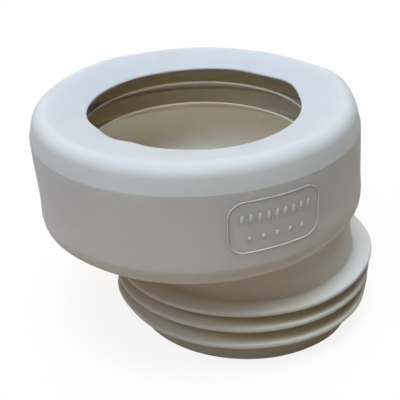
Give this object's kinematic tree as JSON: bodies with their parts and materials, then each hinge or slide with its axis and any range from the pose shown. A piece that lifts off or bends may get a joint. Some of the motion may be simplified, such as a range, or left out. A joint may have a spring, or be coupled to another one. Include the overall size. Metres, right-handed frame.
{
  "type": "offset toilet pan connector",
  "caption": "Flexible offset toilet pan connector: wide bell socket with inner lips above a spigot with moulded sealing fins, set off to one side.",
  "frame": {"origin": "centre of the inlet mouth, on the bell's axis", "axes": "+Z out of the mouth along the bell's axis, +X towards the side that the spigot is set off to"},
  "size_m": [0.146, 0.138, 0.1005],
  "materials": {
    "elastomer": "matte"
  },
  "bodies": {
    "root": {"connector_body": "elastomer"}
  },
  "joints": []
}
